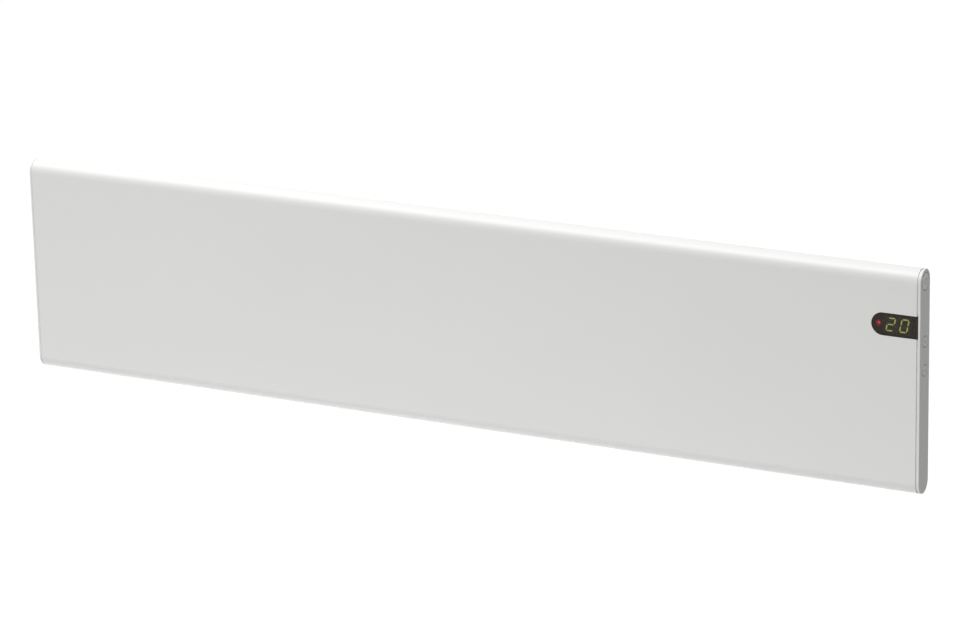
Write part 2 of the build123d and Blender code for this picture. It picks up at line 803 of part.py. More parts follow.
def element_fins():
    """Aluminium extrusion with a hub and four slit arms, pressed over the heating rod."""
    hub = Circle(hub_radius)
    reach = math.hypot(arm_half_depth, arm_half_height)
    angle = math.degrees(math.atan2(arm_half_height, arm_half_depth))
    for turn in (angle, 180 - angle, 180 + angle, -angle):
        hub += Rot(0, 0, turn) * Pos(reach / 2, 0) * Rectangle(reach, arm_thickness)
        hub += Rot(0, 0, turn) * Pos(reach - arm_thickness / 2, 0) * Rectangle(arm_thickness, arm_tip)
    hub -= Circle(rod_radius + rod_fit)
    fins = along_x(Plane.YZ * Pos(y_element, element_z) * hub, -element_half, element_half)
    slit_count = int(2 * element_half // fin_pitch) - 1
    slits = []
    for n in range(slit_count):
        x = (n - (slit_count - 1) / 2) * fin_pitch
        for side in (-1, 1):
            z0 = element_z + side * fin_slit_reach
            z1 = element_z + side * (arm_half_height + 2 * arm_thickness)
            slits.append(block(x - fin_slit / 2, x + fin_slit / 2, y_element - 2 * arm_half_depth,
                               y_element + 2 * arm_half_depth, min(z0, z1), max(z0, z1)))
    return fins - slits


def element_rod():
    """Steel-sheathed heating rod."""
    rod = rod_x(-x_rod, x_rod, y_element, element_z, rod_radius)
    for side in (-1, 1):
        rod = chamfer(edges_at(rod, Axis.X, side * x_rod), 0.5)
    return rod


def rod_beads():
    """Ceramic beads that close the rod's ends round its pins."""
    beads = []
    for side in (-1, 1):
        bead = rod_x(side * x_rod, side * (x_rod + bead_length), y_element, element_z, bead_radius)
        bead = fillet(edges_at(bead, Axis.X, side * (x_rod + bead_length)), 1.5)
        bead -= rod_x(side * (x_rod - 1), side * (x_rod + bead_length + 1), y_element, element_z, pin_radius)
        beads.append(bead)
    return beads


def rod_pins():
    """Terminal pins with flat tabs for the leads."""
    pins = []
    for side in (-1, 1):
        pin = rod_x(side * x_rod, side * x_pin, y_element, element_z, pin_radius)
        tab = block(side * (x_pin - 4), side * x_pin, y_element - 0.5, y_element + 0.5,
                    element_z - pin_tab / 2, element_z + pin_tab / 2)
        pins.append(pin + tab)
    return pins


def element_supports():
    """Sheet brackets on the casing's back wall that carry the rod through rubber bushes."""
    supports = []
    for side in (-1, 1):
        x0 = side * x_support
        x1 = side * (x_support + support_sheet)
        web = block(x0, x1, y_element - support_reach, y_wall,
                    element_z - support_half_height, element_z + support_half_height)
        web = fillet(edges_at(web, Axis.Y, y_element - support_reach).filter_by(Axis.X), 0.4 * support_reach)
        foot = block(x0, side * (x_support - support_foot / 2), y_wall - support_sheet, y_wall,
                     element_z - support_half_height, element_z + support_half_height)
        support = web + foot - rod_x(x0 - 5, x1 + 5, y_element, element_z, bush_radius)
        supports.append(support)
    return supports


def support_bushes():
    """Silicone bushes between rod and support."""
    bushes = []
    for side in (-1, 1):
        x = side * (x_support + support_sheet / 2)
        bush = rod_x(x - bush_length / 2, x + bush_length / 2, y_element, element_z, bush_radius + 1)
        waist = rod_x(x - support_sheet / 2, x + support_sheet / 2, y_element, element_z, bush_radius + 2)
        waist -= rod_x(x - bush_length, x + bush_length, y_element, element_z, bush_radius)
        bore = rod_x(x - bush_length, x + bush_length, y_element, element_z, rod_radius + rod_fit)
        bushes.append(bush - waist - bore)
    return bushes


def divider_plate():
    """Steel plate that parts the warm air space from the electronics bay."""
    inset = casing_sheet + divider_clear
    y_nose = y_front + panel_sheet + divider_clear
    plate = along_x(tray_section(inset, y_joint), x_divider, x_divider + divider_sheet)
    half = min(casing_half_front, lip_z) - inset - divider_clear
    plate += block(x_divider, x_divider + divider_sheet, y_nose, y_joint, -half, half)
    half_foot = casing_half_back - casing_bend - divider_foot
    plate += block(x_divider - divider_foot, x_divider + divider_sheet, y_wall - divider_sheet, y_wall,
                   -half_foot, half_foot)
    y_hole = y_back - grommet_back
    hole_radius = grommet_radius - grommet_groove
    return plate - rod_x(x_divider - 1, x_divider + divider_sheet + 1, y_hole, grommet_z, hole_radius)


def divider_grommet():
    """Silicone grommet for the leads."""
    x = x_divider + divider_sheet / 2
    y = y_back - grommet_back
    ring = rod_x(x - grommet_length / 2, x + grommet_length / 2, y, grommet_z, grommet_radius)
    waist = rod_x(x_divider, x_divider + divider_sheet, y, grommet_z, grommet_radius + 1)
    waist -= rod_x(x - grommet_length, x + grommet_length, y, grommet_z, grommet_radius - grommet_groove)
    return ring - waist - rod_x(x - grommet_length, x + grommet_length, y, grommet_z, grommet_bore)


def power_post_places():
    """The four stand-offs of the power board."""
    dx = power_board_width / 2 - board_post_inset
    dz = power_board_height / 2 - board_post_inset
    return [(board_x + sx * dx, board_z + sz * dz) for sx in (-1, 1) for sz in (-1, 1)]


def power_board():
    """Circuit board with the supply and the relay, on stand-offs from the back wall."""
    y0 = y_power_board - board_thickness
    board = block(board_x - power_board_width / 2, board_x + power_board_width / 2, y0, y_power_board,
                  board_z - power_board_height / 2, board_z + power_board_height / 2)
    board = fillet(board.edges().filter_by(Axis.Y), 1.5)
    for x, z in power_post_places():
        board -= rod_y(x, y0 - 1, y_power_board + 1, z, small_screw_radius + screw_hole_clear)
    return board


def board_standoffs():
    """Nylon pillars with a press-in nose that holds the board."""
    posts = []
    for x, z in power_post_places():
        post = rod_y(x, y_power_board, y_wall, z, post_radius * 1.5)
        post += rod_y(x, y_power_board - board_thickness - 1.5, y_power_board, z, small_screw_radius)
        posts.append(post)
    return posts


def on_power_board(dx, dz, size):
    """A box of a given size seated on the front of the power board."""
    width, height, depth = size
    y_seat = y_power_board - board_thickness
    x = board_x + dx
    z = board_z + dz
    return block(x - width / 2, x + width / 2, y_seat - depth, y_seat, z - height / 2, z + height / 2)


def power_relay():
    dx = power_board_width / 2 - relay_size[0] / 2 - board_part_inset
    relay = on_power_board(dx, relay_rise - power_board_height / 2, relay_size)
    return fillet(relay.edges(), 0.6)


def supply_transformer():
    """Small encapsulated transformer."""
    dz = power_board_height / 2 - transformer_size[1] / 2 - transformer_drop
    core = on_power_board(-2, dz, transformer_size)
    return chamfer(core.edges().filter_by(Axis.Y), 2)


def supply_capacitor():
    """Electrolytic capacitor standing on the board."""
    x = board_x - power_board_width / 2 + capacitor_radius + board_part_inset
    z = board_z - power_board_height / 2 + capacitor_rise
    y_seat = y_power_board - board_thickness
    can = rod_y(x, y_seat - capacitor_length, y_seat, z, capacitor_radius)
    return fillet(edges_at(can, Axis.Y, y_seat - capacitor_length), 0.8)


def terminal_block():
    """Three-way screw terminal block on the back wall."""
    z0 = terminal_z - terminal_height / 2
    z1 = terminal_z + terminal_height / 2
    half_width = terminal_width / 2
    y_face = y_wall - terminal_depth
    body = block(terminal_x - half_width, terminal_x + half_width, y_face, y_wall, z0, z1)
    body = fillet(edges_at(body, Axis.Y, y_face), 1.2)
    half_way = terminal_width / terminal_ways / 2
    for x in terminal_columns():
        body -= rod_y(x, y_face - 1, y_face + terminal_hole_depth, terminal_z, terminal_hole_radius)
        for z, end in ((z0, -1), (z1, 1)):
            funnel = Pos(x, y_wall - terminal_depth / 2, z - end * terminal_funnel_depth / 2)
            body -= funnel * Cylinder(terminal_hole_radius, terminal_funnel_depth)
    for x in terminal_columns()[1:]:
        body -= block(x - half_way - 0.6, x - half_way + 0.6, y_face, y_face + 6, z0, z1)
    return body


def terminal_columns():
    """The middle of each way of the terminal block."""
    way = terminal_width / terminal_ways
    return [terminal_x + (n - (terminal_ways - 1) / 2) * way for n in range(terminal_ways)]


def terminal_screws():
    """Slotted clamping screws, sunk in the terminal block."""
    y_head = y_wall - terminal_depth + terminal_screw_sink
    y_tip = y_wall - terminal_depth + terminal_hole_depth
    radius = terminal_hole_radius - terminal_screw_clear
    screws = []
    for x in terminal_columns():
        drive = block(x - radius, x + radius, y_head, y_head + 1, terminal_z - 0.3, terminal_z + 0.3)
        screws.append(rod_y(x, y_head, y_tip, terminal_z, radius) - drive)
    return screws


def earth_stud():
    """Welded earth stud with its nut on the back wall."""
    x = x_end - earth_inset
    z = earth_rise - casing_half_back
    stud = rod_y(x, y_wall - earth_stud_length, y_wall, z, earth_stud_radius)
    face = Plane(origin=(x, y_wall, z), x_dir=(1, 0, 0), z_dir=(0, -1, 0))
    nut = extrude(face * RegularPolygon(earth_nut_radius, 6), amount=earth_nut_height)
    return stud + nut


def overheat_cutout():
    """Disc thermostat with two ears, seated on the back wall above the element."""
    x = x_divider - cutout_gap
    z = casing_half_back - cutout_drop
    ears = block(x - cutout_ear, x + cutout_ear, y_wall - 1, y_wall, z - 4, z + 4)
    ears = fillet(ears.edges().filter_by(Axis.Y), 3)
    y_face = y_wall - cutout_height
    drum = rod_y(x, y_face, y_wall, z, cutout_radius)
    drum = chamfer(edges_at(drum, Axis.Y, y_face), 1)
    tabs = Part()
    for side in (-1, 1):
        x_tab = x + side * cutout_radius * 0.55
        tabs += block(x_tab - 0.4, x_tab + 0.4, y_face - 6, y_face, z - 3, z + 3)
    return ears + drum + tabs


def air_sensor():
    """Thermistor in a sleeve on a small foot, low in the bay where cool air comes in."""
    y_foot = y_wall - sensor_length
    x = x_end - sensor_inset
    z = sensor_rise - casing_half_back
    sleeve = rod_y(x, y_foot, y_wall, z, sensor_radius)
    sleeve += Pos(x, y_foot, z) * Sphere(sensor_radius)
    return sleeve + rod_y(x, y_wall - 1.2, y_wall, z, sensor_radius + sensor_foot)


def gland_axis():
    """Frame on the lower sloping wall, its z axis pointing out along the cable gland."""
    middle = (x_end - gland_inset, (y_joint + y_back) / 2, -(casing_half_front + casing_half_back) / 2)
    return Plane(origin=middle, x_dir=(1, 0, 0), z_dir=(0, slope, -1))


def cable_gland():
    """Nylon gland: hexagon body, fluted dome nut and threaded tail with one straight bore."""
    body = extrude(RegularPolygon(gland_flats / 2, 6, major_radius=False), amount=gland_body)
    dome = Pos(0, 0, gland_body + gland_nut_length / 2) * Cylinder(gland_nut_radius, gland_nut_length)
    dome = fillet(dome.edges().group_by(Axis.Z)[-1], gland_nut_radius * 0.35)
    flute = Cylinder(gland_flute_radius, gland_nut_length * 1.3)
    flute = Pos(gland_nut_radius + gland_flute_radius / 3, 0, gland_body) * flute
    for n in range(gland_flutes):
        dome -= Rot(0, 0, 360 * n / gland_flutes) * flute
    tail = Pos(0, 0, -gland_tail / 2) * Cylinder(gland_thread_radius, gland_tail)
    whole = body + dome + tail
    length = gland_tail + gland_body + gland_nut_length
    bore = Pos(0, 0, length / 2 - gland_tail) * Cylinder(gland_bore, length + 2)
    return gland_axis() * (whole - bore)


def gland_locknut():
    """Nylon nut that clamps the gland to the casing from inside."""
    nut = extrude(RegularPolygon(gland_flats / 2, 6, major_radius=False), amount=-locknut_height)
    nut -= Pos(0, 0, -locknut_height / 2) * Cylinder(gland_thread_radius + rod_fit, locknut_height + 2)
    return gland_axis() * Pos(0, 0, -casing_sheet) * nut


def lead(points):
    """A round lead along straight runs joined by the largest arcs that they allow."""
    bends = []
    for before, corner, after in zip(points, points[1:], points[2:]):
        run_in = Vector(*corner) - Vector(*before)
        run_out = Vector(*after) - Vector(*corner)
        half_turn = math.radians(run_in.get_angle(run_out)) / 2
        bends.append(0.45 * min(run_in.length, run_out.length) / math.tan(half_turn))
    path = FilletPolyline(*points, radius=bends)
    start = Plane(origin=path @ 0, z_dir=path % 0)
    return sweep(start * Circle(lead_radius), path=path)


def lead_long():
    """From the power board through the divider and along the casing to the element's left pin."""
    y_run = y_wall - lead_back
    y_hole = y_back - grommet_back
    x_left = -x_pin + 2
    x_first = board_x - power_board_width / 2 + 3
    z_board = board_z - power_board_height / 2
    return lead([
        (x_first, y_power_board - board_thickness / 2, z_board),
        (x_first, y_power_board - board_thickness / 2, z_board - 12),
        (x_first, y_hole + 2, z_board - 30),
        (x_divider + 14, y_hole + 2.4, grommet_z),
        (x_divider - 16, y_hole + 2.4, grommet_z),
        (x_divider - 46, y_run, lead_z),
        (x_left + 30, y_run, lead_z),
        (x_left, y_run - 4, lead_z + 16),
        (x_left, y_element, element_z - pin_tab / 2 - 12),
        (x_left, y_element, element_z - pin_tab / 2),
    ])


def lead_short():
    """From the terminal block through the divider to the element's right pin."""
    y_hole = y_back - grommet_back
    x_right = x_pin - 2
    x_way = terminal_columns()[0]
    z_top = terminal_z - terminal_height / 2
    return lead([
        (x_way, y_wall - terminal_depth / 2, z_top + terminal_funnel_depth - 1),
        (x_way, y_wall - terminal_depth / 2 - 1, z_top - 9),
        (x_way - 8, y_hole - 2.2, grommet_z),
        (x_divider - 5, y_hole - 2.2, grommet_z + 0.5),
        (x_right, y_hole - 4, grommet_z + 8),
        (x_right, y_element, element_z - pin_tab / 2 - 9),
        (x_right, y_element, element_z - pin_tab / 2),
    ])


def lead_clips():
    """Nylon saddle clips that hold the long lead to the back wall."""
    y_run = y_wall - lead_back
    outer = lead_radius + clip_wall
    clips = []
    for n in range(clip_count):
        x = (n - (clip_count - 1) / 2) * clip_pitch
        clip = rod_x(x - clip_width / 2, x + clip_width / 2, y_run, lead_z, outer)
        clip += block(x - clip_width / 2, x + clip_width / 2, y_run, y_wall, lead_z - outer, lead_z + outer)
        clips.append(clip - rod_x(x - clip_width, x + clip_width, y_run, lead_z, lead_radius))
    return clips


def casing_screws():
    """Pan-head screws through the casing's border into the panel's lips."""
    y_seat = y_joint + casing_sheet
    return [
        screw_y(x, z, y_seat, panel_screw_radius, panel_screw_head, panel_screw_head_height,
                panel_screw_length)
        for x, z in panel_screw_places()
    ]


def cap_screws():
    """Pan-head screws through the casing's border into the end caps' bosses."""
    y_seat = y_joint + casing_sheet
    length = casing_sheet + cap_boss_length - 1.5
    return [
        screw_y(x, z, y_seat, panel_screw_radius, panel_screw_head, panel_screw_head_height, length)
        for x, z in cap_screw_places()
    ]


def wall_bracket():
    """Pressed steel bracket: two uprights, a middle rail, slotted wall holes and eight hooks."""
    outline = Rectangle(2 * upright_x, 2 * rail_half_height)
    for side in (-1, 1):
        outline += Pos(side * upright_x, 0) * Rectangle(upright_width, 2 * upright_half_height)
    outline = fillet(outline.vertices(), bracket_corner)
    wall_plane = Plane(origin=(0, 0, 0), x_dir=(1, 0, 0), z_dir=(0, -1, 0))
    pan = extrude(wall_plane * outline, amount=bracket_depth)
    pan = fillet(edges_at(pan, Axis.Y, 0), bracket_bend)
    hollow = extrude(wall_plane * offset(outline, -bracket_sheet), amount=bracket_depth)
    hollow = fillet(edges_at(hollow, Axis.Y, 0), bracket_bend - bracket_sheet)
    pan -= Pos(0, -bracket_sheet, 0) * hollow
    half_gap = upright_x - upright_width / 2 - bracket_corner
    pan -= block(-half_gap, half_gap, -bracket_depth - 1, -rail_depth, -crest, crest)
    end = upright_half_height - bracket_corner
    for side in (-1, 1):
        pan -= block(-x_end, x_end, -bracket_depth - 1, -rail_depth, side * end, side * crest)
    for x in hook_columns:
        for level in hook_levels:
            pan += hook(x, level)
    for x in (-upright_x, upright_x):
        for z in (-wall_hole_z, wall_hole_z):
            slot = SlotOverall(wall_slot_length, wall_slot_width)
            pan -= extrude(Plane(origin=(x, 1, z), x_dir=(1, 0, 0), z_dir=(0, -1, 0)) * slot,
                           amount=bracket_sheet + 2)
    return pan


def hook(x, level):
    """One hook in the plane of an upright's flange: a neck and an upturned tip."""
    y_end = y_hook_tip - hook_tip_depth
    corners = [
        (-bracket_depth + 1, level),
        (-bracket_depth + 1, level - hook_neck),
        (y_end, level - hook_neck),
        (y_end, level + hook_tip),
        (y_hook_tip, level + hook_tip),
        (y_hook_tip, level),
    ]
    face = Plane.YZ * make_face(Polyline(*corners, close=True))
    plate = along_x(face, x - bracket_sheet / 2, x + bracket_sheet / 2)
    tip_edges = edges_at(plate, Axis.Y, y_end).filter_by(Axis.X)
    return fillet(tip_edges, hook_round)


NODES = {
    "wall_bracket": wall_bracket,
    "front_panel": front_panel,
    "rear_casing": rear_casing,
    "hanger_plates": hanger_plates,
    "outlet_grille": outlet_grille,
    "inlet_grille": inlet_grille,
    "grille_rivets": grille_rivets,
    "casing_screws": casing_screws,
    "cap_screws": cap_screws,
    "end_cap_left": end_cap_left,
    "end_cap_right": end_cap_right,
    "power_button": power_button,
    "plus_button": plus_button,
    "minus_button": minus_button,
    "button_board": button_board,
    "button_switches": button_switches,
    "button_board_screws": button_board_screws,
    "display_window": display_window,
    "display_carrier": display_carrier,
    "display_board": display_board,
    "display_screws": display_screws,
    "display_module": display_module,
    "display_digits": display_digits,
    "status_led": status_led,
    "heat_shield": heat_shield,
    "element_fins": element_fins,
    "element_rod": element_rod,
    "rod_beads": rod_beads,
    "rod_pins": rod_pins,
    "element_supports": element_supports,
    "support_bushes": support_bushes,
    "overheat_cutout": overheat_cutout,
    "air_sensor": air_sensor,
    "divider_plate": divider_plate,
    "divider_grommet": divider_grommet,
    "power_board": power_board,
    "board_standoffs": board_standoffs,
    "power_relay": power_relay,
    "supply_transformer": supply_transformer,
    "supply_capacitor": supply_capacitor,
    "terminal_block": terminal_block,
    "terminal_screws": terminal_screws,
    "earth_stud": earth_stud,
    "lead_long": lead_long,
    "lead_short": lead_short,
    "lead_clips": lead_clips,
    "cable_gland": cable_gland,
    "gland_locknut": gland_locknut,
}

os.makedirs("parts", exist_ok=True)
for name, make in NODES.items():
    piece = make()
    if isinstance(piece, list):
        piece = Compound(children=piece)
    export_step(piece, f"parts/{name}.step")
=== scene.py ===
import math

import bpy
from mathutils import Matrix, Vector


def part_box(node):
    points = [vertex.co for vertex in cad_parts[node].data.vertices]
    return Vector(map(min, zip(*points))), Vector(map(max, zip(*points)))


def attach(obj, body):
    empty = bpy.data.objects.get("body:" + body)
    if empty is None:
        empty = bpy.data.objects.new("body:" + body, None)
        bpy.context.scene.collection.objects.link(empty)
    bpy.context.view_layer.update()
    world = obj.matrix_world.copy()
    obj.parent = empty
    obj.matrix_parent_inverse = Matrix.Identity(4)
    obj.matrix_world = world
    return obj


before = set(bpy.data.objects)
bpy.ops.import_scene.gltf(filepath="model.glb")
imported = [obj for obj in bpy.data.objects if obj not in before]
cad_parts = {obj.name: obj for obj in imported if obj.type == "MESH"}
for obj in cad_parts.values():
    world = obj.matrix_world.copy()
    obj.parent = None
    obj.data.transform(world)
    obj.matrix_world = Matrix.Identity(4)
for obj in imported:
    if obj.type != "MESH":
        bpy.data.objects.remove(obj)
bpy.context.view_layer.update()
bpy.ops.object.select_all(action="DESELECT")

# Wall bracket, hook doublers, element supports and divider.
# Folded from hot-dip galvanised sheet: a grey metal whose zinc crystals, about 9 mm across,
# each catch the light a little differently.
FIRST, SECOND = 6, 7  # a Mix node's two colour inputs
MIXED = 2  # and its colour output


def srgb(code):
    """A colour written as sRGB hex, in linear light."""
    parts = [int(code[n:n + 2], 16) / 255 for n in (1, 3, 5)]
    linear = [c / 12.92 if c <= 0.04045 else ((c + 0.055) / 1.055) ** 2.4 for c in parts]
    return tuple(linear) + (1.0,)


def add(material, kind, settings=None, links=None):
    """Add a node with its settings and links."""
    node = material.node_tree.nodes.new(kind)
    for name, value in (settings or {}).items():
        if isinstance(name, int) or name in node.inputs:
            node.inputs[name].default_value = value
        else:
            setattr(node, name, value)
    for name, source in (links or {}).items():
        material.node_tree.links.new(source, node.inputs[name])
    return node


def blank(name):
    """A new material with no nodes."""
    material = bpy.data.materials.new(name)
    material.use_nodes = True
    material.node_tree.nodes.clear()
    return material


def coat(material, shader, *nodes):
    """Close a material on its shader and give it to CAD nodes."""
    add(material, "ShaderNodeOutputMaterial", None, {"Surface": shader.outputs["BSDF"]})
    for name in nodes:
        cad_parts[name].data.materials.clear()
        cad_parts[name].data.materials.append(material)


crystal_size = 0.009
galvanised = blank("Galvanised steel, spangled")
place = add(galvanised, "ShaderNodeTexCoord").outputs["Object"]
spangle = add(galvanised, "ShaderNodeTexVoronoi", {"Scale": 1 / crystal_size}, {"Vector": place})
tone = add(galvanised, "ShaderNodeMix",
           {"data_type": "RGBA", FIRST: srgb("#A6ABAE"), SECOND: srgb("#BDC2C4")},
           {"Factor": spangle.outputs["Color"]})
dull = add(galvanised, "ShaderNodeMapRange", {"To Min": 0.36, "To Max": 0.52},
           {"Value": spangle.outputs["Color"]})
zinc = add(galvanised, "ShaderNodeBsdfPrincipled", {"Metallic": 1.0},
           {"Base Color": tone.outputs[MIXED], "Roughness": dull.outputs["Result"]})
coat(galvanised, zinc, "wall_bracket", "hanger_plates", "element_supports", "divider_plate")

# Rear casing and the two louvred strips.
# Cold-rolled steel, pressed and sprayed with the same polyester powder as the front, in a thinner
# coat: off-white, a little duller, with the fine ripple that powder leaves when it melts.
ripple_size = 0.0022
ripple_depth = 0.00006
film_size = 0.09
casing_coat = blank("White polyester powder coat, thin")
place = add(casing_coat, "ShaderNodeTexCoord").outputs["Object"]
ripple = add(casing_coat, "ShaderNodeTexNoise", {"Scale": 1 / ripple_size, "Detail": 2.0},
             {"Vector": place})
film = add(casing_coat, "ShaderNodeTexNoise", {"Scale": 1 / film_size, "Detail": 3.0},
           {"Vector": place})
tone = add(casing_coat, "ShaderNodeMix",
           {"data_type": "RGBA", FIRST: srgb("#DFDFDC"), SECOND: srgb("#E5E5E2")},
           {"Factor": film.outputs["Fac"]})
bump = add(casing_coat, "ShaderNodeBump", {"Strength": 0.35, "Distance": ripple_depth},
           {"Height": ripple.outputs["Fac"]})
powder = add(casing_coat, "ShaderNodeBsdfPrincipled", {"Roughness": 0.5, "IOR": 1.5},
             {"Base Color": tone.outputs[MIXED], "Normal": bump.outputs["Normal"]})
coat(casing_coat, powder, "rear_casing", "outlet_grille", "inlet_grille")

# Rivets, screws and the earth stud.
# Turned and headed steel with bright zinc plating, which is blue-white and shows faint turning
# rings. They are drawn 0.4 mm apart, coarser than real ones, so that they show.
ring_gap = 0.0004
ring_depth = 0.00002
tint_size = 0.006
plated = blank("Bright zinc plated steel")
place = add(plated, "ShaderNodeTexCoord").outputs["Object"]
rings = add(plated, "ShaderNodeTexNoise", {"Scale": 1 / ring_gap, "Detail": 1.0},
            {"Vector": place})
tint = add(plated, "ShaderNodeTexNoise", {"Scale": 1 / tint_size, "Detail": 1.0},
           {"Vector": place})
tone = add(plated, "ShaderNodeMix",
           {"data_type": "RGBA", FIRST: srgb("#B6BEC6"), SECOND: srgb("#CBCFCE")},
           {"Factor": tint.outputs["Fac"]})
bump = add(plated, "ShaderNodeBump", {"Strength": 0.2, "Distance": ring_depth},
           {"Height": rings.outputs["Fac"]})
zinc = add(plated, "ShaderNodeBsdfPrincipled", {"Metallic": 1.0, "Roughness": 0.28},
           {"Base Color": tone.outputs[MIXED], "Normal": bump.outputs["Normal"]})
coat(plated, zinc, "grille_rivets", "casing_screws", "cap_screws", "display_screws",
     "button_board_screws", "terminal_screws", "earth_stud")

# Heating element fins.
# A 6060 aluminium extrusion in mill finish: grey-white metal with fine die lines along its
# length, 0.6 mm apart.
line_gap = 0.0006
line_depth = 0.00003
along = 0.01  # a line's width as a share of its length
extruded = blank("Extruded aluminium, mill finish")
place = add(extruded, "ShaderNodeTexCoord").outputs["Object"]
drawn = add(extruded, "ShaderNodeMapping", {"Scale": (along, 1.0, 1.0)}, {"Vector": place})
lines = add(extruded, "ShaderNodeTexNoise", {"Scale": 1 / line_gap, "Detail": 2.0},
            {"Vector": drawn.outputs["Vector"]})
tone = add(extruded, "ShaderNodeMix",
           {"data_type": "RGBA", FIRST: srgb("#B4B6B8"), SECOND: srgb("#CCCDCE")},
           {"Factor": lines.outputs["Fac"]})
bump = add(extruded, "ShaderNodeBump", {"Strength": 0.4, "Distance": line_depth},
           {"Height": lines.outputs["Fac"]})
alloy = add(extruded, "ShaderNodeBsdfPrincipled", {"Metallic": 1.0, "Roughness": 0.36},
            {"Base Color": tone.outputs[MIXED], "Normal": bump.outputs["Normal"]})
coat(extruded, alloy, "element_fins")

# Heating rod and its terminal pins.
# Drawn stainless tube round a packed coil. The first heat leaves a faint straw tint in patches
# about 40 mm long.
patch_size = 0.04
sheath = blank("Stainless steel tube, heat tinted")
place = add(sheath, "ShaderNodeTexCoord").outputs["Object"]
patches = add(sheath, "ShaderNodeTexNoise", {"Scale": 1 / patch_size, "Detail": 2.0},
              {"Vector": place})
tone = add(sheath, "ShaderNodeMix",
           {"data_type": "RGBA", FIRST: srgb("#9B9A98"), SECOND: srgb("#A99F8C")},
           {"Factor": patches.outputs["Fac"]})
dull = add(sheath, "ShaderNodeMapRange", {"To Min": 0.3, "To Max": 0.42},
           {"Value": patches.outputs["Fac"]})
steel = add(sheath, "ShaderNodeBsdfPrincipled", {"Metallic": 1.0},
            {"Base Color": tone.outputs[MIXED], "Roughness": dull.outputs["Result"]})
coat(sheath, steel, "element_rod", "rod_pins")

# Beads that close the rod's ends.
# Pressed and fired steatite, unglazed: chalky off-white with a faint speckle.
speckle_size = 0.0007
speckle_depth = 0.00005
steatite = blank("Unglazed steatite")
place = add(steatite, "ShaderNodeTexCoord").outputs["Object"]
speckle = add(steatite, "ShaderNodeTexNoise", {"Scale": 1 / speckle_size, "Detail": 4.0},
              {"Vector": place})
tone = add(steatite, "ShaderNodeMix",
           {"data_type": "RGBA", FIRST: srgb("#DAD4C6"), SECOND: srgb("#ECE8DE")},
           {"Factor": speckle.outputs["Fac"]})
bump = add(steatite, "ShaderNodeBump", {"Strength": 0.3, "Distance": speckle_depth},
           {"Height": speckle.outputs["Fac"]})
fired = add(steatite, "ShaderNodeBsdfPrincipled", {"Roughness": 0.75},
            {"Base Color": tone.outputs[MIXED], "Normal": bump.outputs["Normal"]})
coat(steatite, fired, "rod_beads")

# Bushes of the rod and the grommet in the divider.
# Moulded silicone rubber in brick red, matt, with a faint bloom on its skin.
bloom_size = 0.003
silicone = blank("Moulded silicone rubber, red")
place = add(silicone, "ShaderNodeTexCoord").outputs["Object"]
bloom = add(silicone, "ShaderNodeTexNoise", {"Scale": 1 / bloom_size, "Detail": 3.0},
            {"Vector": place})
tone = add(silicone, "ShaderNodeMix",
           {"data_type": "RGBA", FIRST: srgb("#8E2F22"), SECOND: srgb("#9C4133")},
           {"Factor": bloom.outputs["Fac"]})
skin = add(silicone, "ShaderNodeBsdfPrincipled", {"Roughness": 0.62, "IOR": 1.41},
           {"Base Color": tone.outputs[MIXED]})
coat(silicone, skin, "support_bushes", "divider_grommet")

# Heat shield behind the front panel.
# Thin aluminium sheet, bright from the rolls, with rolling lines 0.8 mm apart along the heater.
line_gap = 0.0008
along = 0.02  # a line's width as a share of its length
rolled = blank("Bright rolled aluminium sheet")
place = add(rolled, "ShaderNodeTexCoord").outputs["Object"]
drawn = add(rolled, "ShaderNodeMapping", {"Scale": (along, 1.0, 1.0)}, {"Vector": place})
lines = add(rolled, "ShaderNodeTexNoise", {"Scale": 1 / line_gap, "Detail": 2.0},
            {"Vector": drawn.outputs["Vector"]})
tone = add(rolled, "ShaderNodeMix",
           {"data_type": "RGBA", FIRST: srgb("#C4C6C8"), SECOND: srgb("#D8D9DA")},
           {"Factor": lines.outputs["Fac"]})
dull = add(rolled, "ShaderNodeMapRange", {"To Min": 0.18, "To Max": 0.3},
           {"Value": lines.outputs["Fac"]})
alloy = add(rolled, "ShaderNodeBsdfPrincipled", {"Metallic": 1.0},
            {"Base Color": tone.outputs[MIXED], "Roughness": dull.outputs["Result"]})
coat(rolled, alloy, "heat_shield")

# Overheat cut-out on the casing's back wall.
# A phenolic drum, brown-black, with the swirl that the moulding powder leaves.
swirl_size = 0.004
phenolic = blank("Moulded phenolic, brown-black")
place = add(phenolic, "ShaderNodeTexCoord").outputs["Object"]
swirl = add(phenolic, "ShaderNodeTexNoise",
            {"Scale": 1 / swirl_size, "Detail": 3.0, "Distortion": 1.5}, {"Vector": place})
tone = add(phenolic, "ShaderNodeMix",
           {"data_type": "RGBA", FIRST: srgb("#241812"), SECOND: srgb("#38261C")},
           {"Factor": swirl.outputs["Fac"]})
resin = add(phenolic, "ShaderNodeBsdfPrincipled", {"Roughness": 0.35, "IOR": 1.6},
            {"Base Color": tone.outputs[MIXED]})
coat(phenolic, resin, "overheat_cutout")

# Air sensor, low in the bay.
# A thermistor dipped in black epoxy: glossy, with small runs in the dip.
run_size = 0.0025
run_depth = 0.0001
dipped = blank("Dipped epoxy, black")
place = add(dipped, "ShaderNodeTexCoord").outputs["Object"]
runs = add(dipped, "ShaderNodeTexNoise", {"Scale": 1 / run_size, "Detail": 1.0},
           {"Vector": place})
bump = add(dipped, "ShaderNodeBump", {"Strength": 0.5, "Distance": run_depth},
           {"Height": runs.outputs["Fac"]})
epoxy = add(dipped, "ShaderNodeBsdfPrincipled",
            {"Base Color": srgb("#17171A"), "Roughness": 0.18, "IOR": 1.55},
            {"Normal": bump.outputs["Normal"]})
coat(dipped, epoxy, "air_sensor")

